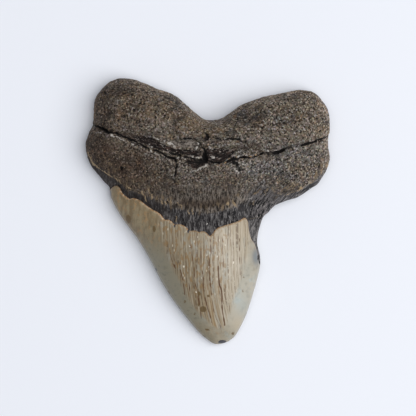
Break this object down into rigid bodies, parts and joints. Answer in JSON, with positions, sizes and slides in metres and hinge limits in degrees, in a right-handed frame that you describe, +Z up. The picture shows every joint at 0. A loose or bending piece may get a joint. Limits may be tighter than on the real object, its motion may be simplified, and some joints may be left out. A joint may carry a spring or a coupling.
{
  "type": "fossil shark tooth",
  "caption": "Large fossil shark tooth: a rough two-lobed root with a long crack and a torn hollow, over a smooth, pointed enamel crown.",
  "frame": {"origin": "centre of the bounding box in plan, on the plane that the labial face lies on", "axes": "+Y from the crown's tip towards the root, +Z up out of the lingual face, +X to the right when the lingual face is looked at with the tip down"},
  "size_m": [0.1087, 0.1183, 0.0266],
  "materials": {
    "tooth": "matt, rough fossil root and satin enamel; stands in for phosphatic stone"
  },
  "bodies": {
    "root": {"tooth": "tooth"}
  },
  "joints": []
}
